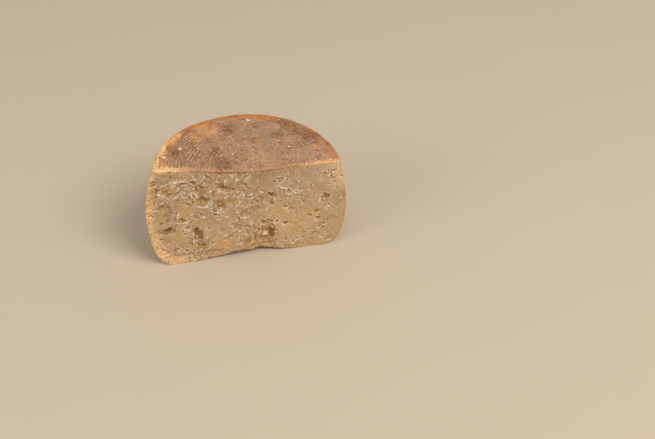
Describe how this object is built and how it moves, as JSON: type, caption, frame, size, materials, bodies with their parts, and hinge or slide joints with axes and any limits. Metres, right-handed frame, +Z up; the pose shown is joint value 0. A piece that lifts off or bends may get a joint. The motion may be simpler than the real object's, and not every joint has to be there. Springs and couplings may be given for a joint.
{
  "type": "half wheel of pecorino cheese",
  "caption": "Half of a firm sheep's-milk cheese wheel with a ringed brown rind, cut face showing torn openings, to stand on a board or counter.",
  "frame": {"origin": "middle of the footprint, on the surface that the half wheel stands on", "axes": "+X along the cut, towards its lower end; +Y away from the cut face, towards the back of the wheel; +Z up"},
  "size_m": [0.2004, 0.1014, 0.119],
  "materials": {
    "cheese": "matt, firm ivory-tan paste inside a brown rind"
  },
  "bodies": {
    "root": {"cheese_half": "cheese"}
  },
  "joints": []
}
